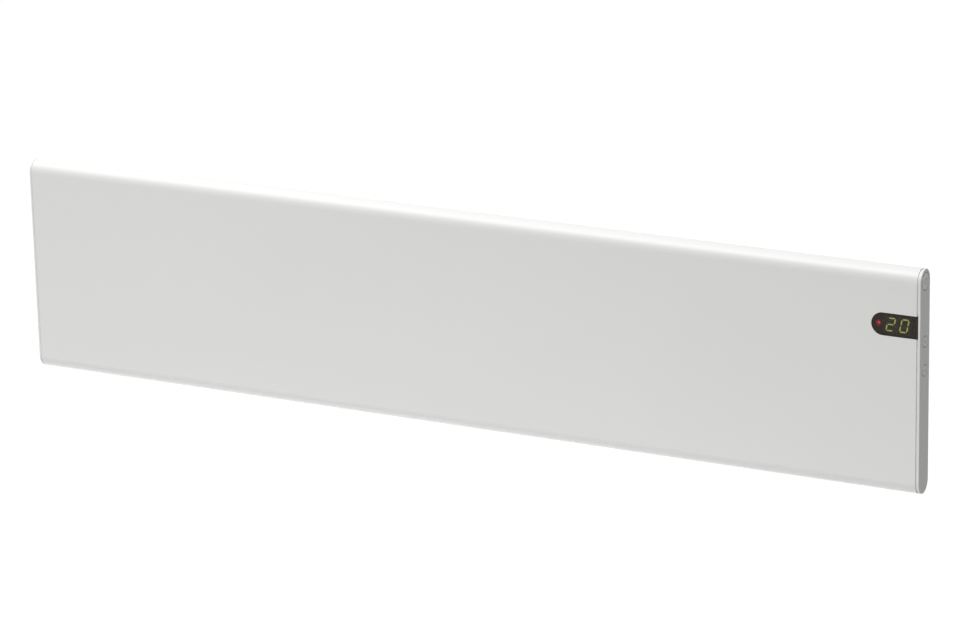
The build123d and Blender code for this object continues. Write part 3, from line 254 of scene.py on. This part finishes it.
# Circuit boards of the supply, the display and the buttons.
# Glass-epoxy laminate under green lacquer. The copper tracks show as paler green bars,
# about 2 mm apart.
track_gap = 0.002
track_share = 0.5  # a track's gap as a share of the pattern's unit
laminate = blank("Glass-epoxy laminate, green lacquer")
place = add(laminate, "ShaderNodeTexCoord").outputs["Object"]
upright = add(laminate, "ShaderNodeMapping", {"Rotation": (math.radians(90), 0, 0)},
              {"Vector": place})
tracks = add(laminate, "ShaderNodeTexBrick",
             {"Color1": srgb("#1E5A36"), "Color2": srgb("#2A6C44"), "Mortar": srgb("#17482B"),
              "Scale": track_share / track_gap, "Mortar Size": 0.08, "Brick Width": 1.4,
              "Row Height": track_share},
             {"Vector": upright.outputs["Vector"]})
lacquer = add(laminate, "ShaderNodeBsdfPrincipled", {"Roughness": 0.25, "IOR": 1.5},
              {"Base Color": tracks.outputs["Color"]})
coat(laminate, lacquer, "power_board", "display_board", "button_board")

# Switches under the buttons.
# Glass-filled nylon, black, with the fine grain of a spark-eroded mould. It is drawn 0.4 mm
# across, coarser than life, so that it shows.
grain_size = 0.0004
grain_depth = 0.00003
nylon_black = blank("Glass-filled nylon, black")
place = add(nylon_black, "ShaderNodeTexCoord").outputs["Object"]
grain = add(nylon_black, "ShaderNodeTexNoise", {"Scale": 1 / grain_size, "Detail": 2.0},
            {"Vector": place})
bump = add(nylon_black, "ShaderNodeBump", {"Strength": 0.3, "Distance": grain_depth},
           {"Height": grain.outputs["Fac"]})
moulded = add(nylon_black, "ShaderNodeBsdfPrincipled",
              {"Base Color": srgb("#1D1D1E"), "Roughness": 0.5},
              {"Normal": bump.outputs["Normal"]})
coat(nylon_black, moulded, "button_switches")

# Relay on the supply board.
# A blue polyester case with a satin moulded skin, whose grain is drawn 0.5 mm across, coarser
# than life, so that it shows.
grain_size = 0.0005
relay_case = blank("Moulded polyester, blue")
place = add(relay_case, "ShaderNodeTexCoord").outputs["Object"]
grain = add(relay_case, "ShaderNodeTexNoise", {"Scale": 1 / grain_size, "Detail": 2.0},
            {"Vector": place})
tone = add(relay_case, "ShaderNodeMix",
           {"data_type": "RGBA", FIRST: srgb("#24508E"), SECOND: srgb("#2A5897")},
           {"Factor": grain.outputs["Fac"]})
moulded = add(relay_case, "ShaderNodeBsdfPrincipled", {"Roughness": 0.38},
              {"Base Color": tone.outputs[MIXED]})
coat(relay_case, moulded, "power_relay")

# Transformer on the supply board.
# Potted in black resin, matt with fine pits.
pit_size = 0.0008
pit_depth = 0.00006
potting = blank("Potting resin, black")
place = add(potting, "ShaderNodeTexCoord").outputs["Object"]
pits = add(potting, "ShaderNodeTexNoise", {"Scale": 1 / pit_size, "Detail": 3.0},
           {"Vector": place})
bump = add(potting, "ShaderNodeBump", {"Strength": 0.4, "Distance": pit_depth},
           {"Height": pits.outputs["Fac"]})
resin = add(potting, "ShaderNodeBsdfPrincipled",
            {"Base Color": srgb("#202022"), "Roughness": 0.6},
            {"Normal": bump.outputs["Normal"]})
coat(potting, resin, "supply_transformer")

# Capacitor on the supply board.
# An aluminium can in a shrunk PVC sleeve: dark, glossy, with a faint ripple from the shrinking.
ripple_size = 0.003
ripple_depth = 0.00008
sleeve = blank("Shrunk PVC sleeve, dark")
place = add(sleeve, "ShaderNodeTexCoord").outputs["Object"]
ripple = add(sleeve, "ShaderNodeTexNoise", {"Scale": 1 / ripple_size, "Detail": 1.0},
             {"Vector": place})
bump = add(sleeve, "ShaderNodeBump", {"Strength": 0.4, "Distance": ripple_depth},
           {"Height": ripple.outputs["Fac"]})
film = add(sleeve, "ShaderNodeBsdfPrincipled",
           {"Base Color": srgb("#25262E"), "Roughness": 0.22, "IOR": 1.53},
           {"Normal": bump.outputs["Normal"]})
coat(sleeve, film, "supply_capacitor")

# Pillars of the supply board, terminal block and lead clips.
# Natural nylon 66, moulded: creamy white and slightly translucent.
cloud_size = 0.008
light_reach = 0.002
nylon_white = blank("Natural nylon 66")
place = add(nylon_white, "ShaderNodeTexCoord").outputs["Object"]
cloud = add(nylon_white, "ShaderNodeTexNoise", {"Scale": 1 / cloud_size, "Detail": 2.0},
            {"Vector": place})
tone = add(nylon_white, "ShaderNodeMix",
           {"data_type": "RGBA", FIRST: srgb("#DEDBCF"), SECOND: srgb("#E8E6DC")},
           {"Factor": cloud.outputs["Fac"]})
moulded = add(nylon_white, "ShaderNodeBsdfPrincipled",
              {"Roughness": 0.42, "Subsurface Weight": 0.1, "Subsurface Scale": light_reach},
              {"Base Color": tone.outputs[MIXED]})
coat(nylon_white, moulded, "board_standoffs", "terminal_block", "lead_clips")

# Leads between the board, the terminals and the element.
# Stranded wire in extruded silicone, off-white, with a soft sheen along the run.
dust_size = 0.005
insulation = blank("Extruded silicone insulation, off-white")
place = add(insulation, "ShaderNodeTexCoord").outputs["Object"]
dust = add(insulation, "ShaderNodeTexNoise", {"Scale": 1 / dust_size, "Detail": 3.0},
           {"Vector": place})
tone = add(insulation, "ShaderNodeMix",
           {"data_type": "RGBA", FIRST: srgb("#C9C7C2"), SECOND: srgb("#D5D3CE")},
           {"Factor": dust.outputs["Fac"]})
skin = add(insulation, "ShaderNodeBsdfPrincipled", {"Roughness": 0.55, "IOR": 1.41},
           {"Base Color": tone.outputs[MIXED]})
coat(insulation, skin, "lead_long", "lead_short")

# Cable gland and its locknut, low at the back.
# Light grey nylon, moulded, with a satin grain. It is drawn 0.6 mm across, coarser than life,
# so that it shows.
grain_size = 0.0006
grain_depth = 0.00003
nylon_grey = blank("Moulded nylon, light grey")
place = add(nylon_grey, "ShaderNodeTexCoord").outputs["Object"]
grain = add(nylon_grey, "ShaderNodeTexNoise", {"Scale": 1 / grain_size, "Detail": 2.0},
            {"Vector": place})
tone = add(nylon_grey, "ShaderNodeMix",
           {"data_type": "RGBA", FIRST: srgb("#C0C3C2"), SECOND: srgb("#C8CBCA")},
           {"Factor": grain.outputs["Fac"]})
bump = add(nylon_grey, "ShaderNodeBump", {"Strength": 0.3, "Distance": grain_depth},
           {"Height": grain.outputs["Fac"]})
moulded = add(nylon_grey, "ShaderNodeBsdfPrincipled", {"Roughness": 0.45},
              {"Base Color": tone.outputs[MIXED], "Normal": bump.outputs["Normal"]})
coat(nylon_grey, moulded, "cable_gland", "gland_locknut")

# Front panel.
# Steel sheet rolled to a round top and bottom edge and sprayed with white polyester powder, baked
# to a satin film. The melted powder leaves a ripple about 1.8 mm across.
ripple_size = 0.0018
ripple_depth = 0.00005
film_size = 0.16
panel_coat = blank("White polyester powder coat, satin")
place = add(panel_coat, "ShaderNodeTexCoord").outputs["Object"]
ripple = add(panel_coat, "ShaderNodeTexNoise", {"Scale": 1 / ripple_size, "Detail": 2.0},
             {"Vector": place})
film = add(panel_coat, "ShaderNodeTexNoise", {"Scale": 1 / film_size, "Detail": 2.0},
           {"Vector": place})
tone = add(panel_coat, "ShaderNodeMix",
           {"data_type": "RGBA", FIRST: srgb("#E8E9E6"), SECOND: srgb("#EBEBE9")},
           {"Factor": film.outputs["Fac"]})
bump = add(panel_coat, "ShaderNodeBump", {"Strength": 0.25, "Distance": ripple_depth},
           {"Height": ripple.outputs["Fac"]})
powder = add(panel_coat, "ShaderNodeBsdfPrincipled", {"Roughness": 0.42, "IOR": 1.5},
             {"Base Color": tone.outputs[MIXED], "Normal": bump.outputs["Normal"]})
coat(panel_coat, powder, "front_panel")

# End caps.
# ABS injected into a spark-eroded mould: the white of the panel, with an even matt grain. It is
# drawn 0.5 mm across, coarser than life, so that it shows.
grain_size = 0.0005
grain_depth = 0.00004
cap_abs = blank("Moulded ABS, white")
place = add(cap_abs, "ShaderNodeTexCoord").outputs["Object"]
grain = add(cap_abs, "ShaderNodeTexNoise", {"Scale": 1 / grain_size, "Detail": 3.0},
            {"Vector": place})
tone = add(cap_abs, "ShaderNodeMix",
           {"data_type": "RGBA", FIRST: srgb("#E6E6E3"), SECOND: srgb("#EAEAE8")},
           {"Factor": grain.outputs["Fac"]})
bump = add(cap_abs, "ShaderNodeBump", {"Strength": 0.4, "Distance": grain_depth},
           {"Height": grain.outputs["Fac"]})
moulded = add(cap_abs, "ShaderNodeBsdfPrincipled", {"Roughness": 0.48, "IOR": 1.53},
              {"Base Color": tone.outputs[MIXED], "Normal": bump.outputs["Normal"]})
coat(cap_abs, moulded, "end_cap_left", "end_cap_right")

# Display carrier and display housing.
# Black ABS behind the lens, with painted light on it: the dim glow that the lit bars and the
# indicator would throw on it is painted in as emission. Each painted glow is a soft ball of colour
# set where its lamp is, one for each digit and one for the indicator.
low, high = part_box("display_digits")
digit_middle = 0.25  # from the digits' end to the middle of a digit, as a share of their width
digits_z = ((low + high) / 2).z
digit_reach = (0.0085, 0.0085, 0.011)
led_low, led_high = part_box("status_led")
lamp_x = (led_low.x + led_high.x) / 2
lamp_z = (led_low.z + led_high.z) / 2
lamp_reach = (0.0048, 0.0048, 0.0048)
# Where each painted glow sits, how far it reaches, its colour and its strength.
painted_glows = [((low.x * (1 - digit_middle) + high.x * digit_middle, low.y, digits_z),
          digit_reach, "#233C0A", 1.0),
         ((low.x * digit_middle + high.x * (1 - digit_middle), low.y, digits_z),
          digit_reach, "#233C0A", 1.0),
         ((lamp_x, led_low.y, lamp_z), lamp_reach, "#F01440", 2.6)]
backing_with_painted_glow = blank("Moulded ABS, black, with a painted display glow")
place = add(backing_with_painted_glow, "ShaderNodeTexCoord").outputs["Object"]
painted_light = None
for centre, reach, hue, strength in painted_glows:
    ball = add(backing_with_painted_glow, "ShaderNodeMapping",
               {"vector_type": "POINT", "Location": tuple(-c / r for c, r in zip(centre, reach)),
                "Scale": tuple(1 / r for r in reach)}, {"Vector": place})
    fade = add(backing_with_painted_glow, "ShaderNodeTexGradient", {"gradient_type": "QUADRATIC_SPHERE"},
               {"Vector": ball.outputs["Vector"]})
    # The painted glow's colour at its full strength.
    lit = tuple(strength * c for c in srgb(hue)[:3]) + (1,)
    painted_glow = add(backing_with_painted_glow, "ShaderNodeMix", {"data_type": "RGBA", FIRST: (0, 0, 0, 1), SECOND: lit},
               {"Factor": fade.outputs["Fac"]})
    if painted_light:
        painted_glow = add(backing_with_painted_glow, "ShaderNodeMix",
                   {"data_type": "RGBA", "blend_type": "ADD", "Factor": 1.0},
                   {FIRST: painted_light.outputs[MIXED], SECOND: painted_glow.outputs[MIXED]})
    painted_light = painted_glow
# The painted glows go in as emission on the black ABS.
moulded = add(backing_with_painted_glow, "ShaderNodeBsdfPrincipled",
              {"Base Color": srgb("#12110F"), "Roughness": 0.75, "Specular IOR Level": 0.1,
               "Emission Strength": 1.0}, {"Emission Color": painted_light.outputs[MIXED]})
coat(backing_with_painted_glow, moulded, "display_carrier", "display_module")

# Lit bars of the two digits.
# Light pipes over yellow-green chips: each bar is a little paler where a chip stands behind it.
chip_gap = 0.0025
segments = blank("Lit display bars, yellow-green")
place = add(segments, "ShaderNodeTexCoord").outputs["Object"]
chips = add(segments, "ShaderNodeTexNoise", {"Scale": 1 / chip_gap, "Detail": 0.0},
            {"Vector": place})
tone = add(segments, "ShaderNodeMix",
           {"data_type": "RGBA", FIRST: srgb("#ABC463"), SECOND: srgb("#BCD471")},
           {"Factor": chips.outputs["Fac"]})
lit = add(segments, "ShaderNodeBsdfPrincipled",
          {"Base Color": srgb("#5A6428"), "Roughness": 0.4, "Emission Strength": 2.6},
          {"Emission Color": tone.outputs[MIXED]})
coat(segments, lit, "display_digits")

# Heating indicator.
# A 3 mm lamp of red diffused epoxy, lit: pinkish at the middle of its dome.
reach = 0.0016
indicator = blank("Lit indicator, red diffused epoxy")
place = add(indicator, "ShaderNodeTexCoord").outputs["Object"]
ball = add(indicator, "ShaderNodeMapping",
           {"vector_type": "POINT", "Scale": (1 / reach, 1 / reach, 1 / reach),
            "Location": (-lamp_x / reach, -led_low.y / reach, -lamp_z / reach)},
           {"Vector": place})
fade = add(indicator, "ShaderNodeTexGradient", {"gradient_type": "SPHERICAL"},
           {"Vector": ball.outputs["Vector"]})
tone = add(indicator, "ShaderNodeMix",
           {"data_type": "RGBA", FIRST: srgb("#D81040"), SECOND: srgb("#F04A78")},
           {"Factor": fade.outputs["Fac"]})
lit = add(indicator, "ShaderNodeBsdfPrincipled",
          {"Base Color": srgb("#C01838"), "Roughness": 0.3, "Emission Strength": 3.9},
          {"Emission Color": tone.outputs[MIXED]})
coat(indicator, lit, "status_led")

# Display window.
# Polished smoked acrylic with a warm grey tint. It lets about a fifth of the light through, so only
# the lit bars and the indicator show behind it, and it mirrors the room in its face.
drift_size = 0.02
smoked = blank("Polished acrylic, smoked")
place = add(smoked, "ShaderNodeTexCoord").outputs["Object"]
drift = add(smoked, "ShaderNodeTexNoise", {"Scale": 1 / drift_size, "Detail": 1.0},
            {"Vector": place})
tone = add(smoked, "ShaderNodeMix",
           {"data_type": "RGBA", FIRST: srgb("#7E7872"), SECOND: srgb("#847E78")},
           {"Factor": drift.outputs["Fac"]})
acrylic = add(smoked, "ShaderNodeBsdfPrincipled",
              {"Roughness": 0.03, "IOR": 1.49, "Transmission Weight": 1.0,
               "Specular Tint": (0.9, 0.78, 0.66, 1.0)}, {"Base Color": tone.outputs[MIXED]})
coat(smoked, acrylic, "display_window")

# Push buttons.
# ABS like the caps, with a dished face for the fingertip and a finer grain, drawn 0.3 mm
# across.
grain_size = 0.0003
grain_depth = 0.00002
button_abs = blank("Moulded ABS, white, fine grain")
place = add(button_abs, "ShaderNodeTexCoord").outputs["Object"]
grain = add(button_abs, "ShaderNodeTexNoise", {"Scale": 1 / grain_size, "Detail": 2.0},
            {"Vector": place})
tone = add(button_abs, "ShaderNodeMix",
           {"data_type": "RGBA", FIRST: srgb("#E8E8E6"), SECOND: srgb("#ECECEA")},
           {"Factor": grain.outputs["Fac"]})
bump = add(button_abs, "ShaderNodeBump", {"Strength": 0.3, "Distance": grain_depth},
           {"Height": grain.outputs["Fac"]})
moulded = add(button_abs, "ShaderNodeBsdfPrincipled", {"Roughness": 0.4, "IOR": 1.53},
              {"Base Color": tone.outputs[MIXED], "Normal": bump.outputs["Normal"]})
coat(button_abs, moulded, "power_button", "plus_button", "minus_button")

# Marks on the buttons: a power sign, a plus and a minus.
# Pad-printed light grey ink, laid on the dished faces and worn a little at its edges.
wear_size = 0.0009
stroke = 0.0008
sign_length = 0.0052  # each bar of the plus and the minus
ring_radius = 0.0036  # the power sign's ring
ring_opening = math.radians(34)  # to each side of its top
stem_length = 0.0034  # the bar in that opening
stem_rise = 0.0028  # from the ring's middle to the bar's
clear = 0.001  # how far off its button a mark is drawn, before it is laid on
ink_lift = 0.00004
ink_film = 0.00003
ink = blank("Pad-printed ink, light grey")
place = add(ink, "ShaderNodeTexCoord").outputs["Object"]
wear = add(ink, "ShaderNodeTexNoise", {"Scale": 1 / wear_size, "Detail": 3.0}, {"Vector": place})
tone = add(ink, "ShaderNodeMix",
           {"data_type": "RGBA", FIRST: srgb("#A4A6A9"), SECOND: srgb("#B4B6B9")},
           {"Factor": wear.outputs["Fac"]})
printed = add(ink, "ShaderNodeBsdfPrincipled", {"Roughness": 0.5},
              {"Base Color": tone.outputs[MIXED]})
coat(ink, printed)


def shift(*way):
    """Move all of the active mesh."""
    bpy.ops.object.mode_set(mode="EDIT")
    bpy.ops.mesh.select_all(action="SELECT")
    bpy.ops.transform.translate(value=way)
    bpy.ops.object.mode_set(mode="OBJECT")


def print_on(name, key, body):
    """Lay the active flat mark on a button's dished face, and give it its ink and its body."""
    mark = bpy.context.object
    mark.name = name
    low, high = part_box(key)
    centre = (low + high) / 2
    shift(high.x + clear, centre.y, centre.z)
    wrap = mark.modifiers.new("lay", "SHRINKWRAP")
    wrap.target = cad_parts[key]
    wrap.wrap_method = "PROJECT"
    wrap.use_project_x = True
    wrap.use_negative_direction = True
    wrap.use_positive_direction = False
    wrap.offset = ink_lift
    wrap.wrap_mode = "ABOVE_SURFACE"
    film = mark.modifiers.new("ink", "SOLIDIFY")
    film.thickness = ink_film
    for modifier in ("lay", "ink"):
        bpy.ops.object.modifier_apply(modifier=modifier)
    mark.data.materials.append(ink)
    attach(mark, body)
    bpy.ops.object.select_all(action="DESELECT")


def bar(length, width, turn):
    """A flat bar that faces +X, divided along its length, about the origin."""
    bpy.ops.mesh.primitive_grid_add(x_subdivisions=2, y_subdivisions=12, size=1)
    bpy.ops.object.mode_set(mode="EDIT")
    bpy.ops.mesh.select_all(action="SELECT")
    bpy.ops.transform.resize(value=(width, length, 1))
    bpy.ops.object.mode_set(mode="OBJECT")
    bpy.context.object.rotation_euler = (math.radians(90), turn, math.radians(90))
    bpy.ops.object.transform_apply(location=False, rotation=True, scale=False)


bar(sign_length, stroke, math.radians(90))
print_on("minus_mark", "minus_button", "minus_key")

bar(sign_length, stroke, math.radians(90))
cross_bar = bpy.context.object
bar(sign_length, stroke, 0)
cross_bar.select_set(True)
bpy.ops.object.join()
print_on("plus_mark", "plus_button", "plus_key")

# The power sign: a ring that is open at the top, and a short bar that stands in the opening.
bpy.ops.mesh.primitive_circle_add(vertices=72, radius=ring_radius)
ring = bpy.context.object
bpy.ops.object.mode_set(mode="EDIT")
bpy.ops.mesh.select_all(action="SELECT")
bpy.ops.mesh.extrude_edges_move()
inner = 1 - stroke / ring_radius
bpy.ops.transform.resize(value=(inner, inner, 1))
bpy.ops.mesh.select_all(action="DESELECT")
bpy.ops.object.mode_set(mode="OBJECT")
for corner in ring.data.vertices:
    corner.select = abs(math.atan2(corner.co.x, corner.co.y)) < ring_opening
bpy.ops.object.mode_set(mode="EDIT")
bpy.ops.mesh.delete(type="VERT")
bpy.ops.object.mode_set(mode="OBJECT")
ring.rotation_euler = (math.radians(90), 0, math.radians(90))
bpy.ops.object.transform_apply(location=False, rotation=True, scale=False)
bpy.ops.object.select_all(action="DESELECT")
bar(stem_length, stroke, 0)
shift(0, 0, stem_rise)
ring.select_set(True)
bpy.ops.object.join()
print_on("power_mark", "power_button", "power_key")

# Floor.
# A plain pale floor well below the heater. The eye, gloss and clear pieces see it white, and it
# bounces only part of the light back, so that shaded sides keep their depth.
floor_size = 60
floor_level = -1.6
bpy.ops.mesh.primitive_plane_add(size=floor_size, location=(0, 0, floor_level))
floor = bpy.context.object
floor.name = "floor"
pale = blank("Plain pale floor")
path = add(pale, "ShaderNodeLightPath")
seen = add(pale, "ShaderNodeMath", {"operation": "MAXIMUM"},
           {0: path.outputs["Is Camera Ray"], 1: path.outputs["Is Glossy Ray"]})
seen = add(pale, "ShaderNodeMath", {"operation": "MAXIMUM"},
           {0: seen.outputs["Value"], 1: path.outputs["Is Transmission Ray"]})
tone = add(pale, "ShaderNodeMix",
           {"data_type": "RGBA", FIRST: (0.22, 0.22, 0.22, 1), SECOND: (0.93, 0.93, 0.93, 1)},
           {"Factor": seen.outputs["Value"]})
matt = add(pale, "ShaderNodeBsdfPrincipled",
           {"Roughness": 1.0, "Specular IOR Level": 0.0, "Emission Strength": 0.15},
           {"Base Color": tone.outputs[MIXED], "Emission Color": seen.outputs["Value"]})
coat(pale, matt)
floor.data.materials.append(pale)

# Studio.
# A high, soft key, a lamp high at the left whose light falls off along the panel, a long low filler
# for the round bottom edge, a filler behind for the casing, and a white room.
sun = bpy.data.objects.new("key", bpy.data.lights.new("key", "SUN"))
sun.data.energy = 2.36
sun.data.angle = math.radians(35)
sun.rotation_euler = Vector((-0.12, -0.4, 0.92)).to_track_quat("Z", "Y").to_euler()
bpy.context.scene.collection.objects.link(sun)


def soft_box(name, where, target, size, power):
    """A flat lamp that looks at a point and doesn't show itself."""
    lamp = bpy.data.objects.new(name, bpy.data.lights.new(name, "AREA"))
    lamp.data.shape = "RECTANGLE"
    lamp.data.size, lamp.data.size_y = size
    lamp.data.energy = power
    lamp.location = where
    lamp.rotation_euler = (Vector(where) - Vector(target)).to_track_quat("Z", "Y").to_euler()
    lamp.visible_camera = False
    lamp.visible_glossy = False
    bpy.context.scene.collection.objects.link(lamp)


soft_box("high", where=(-0.75, -0.6, 1.35), target=(-0.3, 0, 0), size=(0.9, 0.8), power=5.2)
soft_box("low", where=(-0.2, -0.62, -1.5), target=(-0.1, -0.05, 0), size=(2.2, 0.6), power=21.2)
soft_box("back", where=(-0.9, 1.7, 0.15), target=(0, 0, 0), size=(2.4, 1.2), power=16)

world = bpy.data.worlds.new("white room")
bpy.context.scene.world = world
world.use_nodes = True
world.node_tree.nodes.clear()
path = add(world, "ShaderNodeLightPath")
seen = add(world, "ShaderNodeMath", {"operation": "MAXIMUM"},
           {0: path.outputs["Is Camera Ray"], 1: path.outputs["Is Glossy Ray"]})
seen = add(world, "ShaderNodeMath", {"operation": "MAXIMUM"},
           {0: seen.outputs["Value"], 1: path.outputs["Is Transmission Ray"]})
tone = add(world, "ShaderNodeMix",
           {"data_type": "RGBA", FIRST: (0.25, 0.25, 0.25, 1), SECOND: (1, 1, 1, 1)},
           {"Factor": seen.outputs["Value"]})
sky = add(world, "ShaderNodeBackground", {"Strength": 1.0}, {"Color": tone.outputs[MIXED]})
add(world, "ShaderNodeOutputWorld", None, {"Surface": sky.outputs["Background"]})

# Camera.
# A long lens, about 5 m away, to the right of the heater and above it.
lens = bpy.data.cameras.new("camera")
lens.lens = 166.1
lens.sensor_width = 36
lens.clip_end = 100
camera = bpy.data.objects.new("camera", lens)
camera.location = (2.1144, -4.2045, 1.5412)
camera.rotation_euler = (math.radians(71.615), math.radians(1.237), math.radians(26.426))
bpy.context.scene.collection.objects.link(camera)
bpy.context.scene.camera = camera
bpy.context.scene.view_settings.view_transform = "Standard"
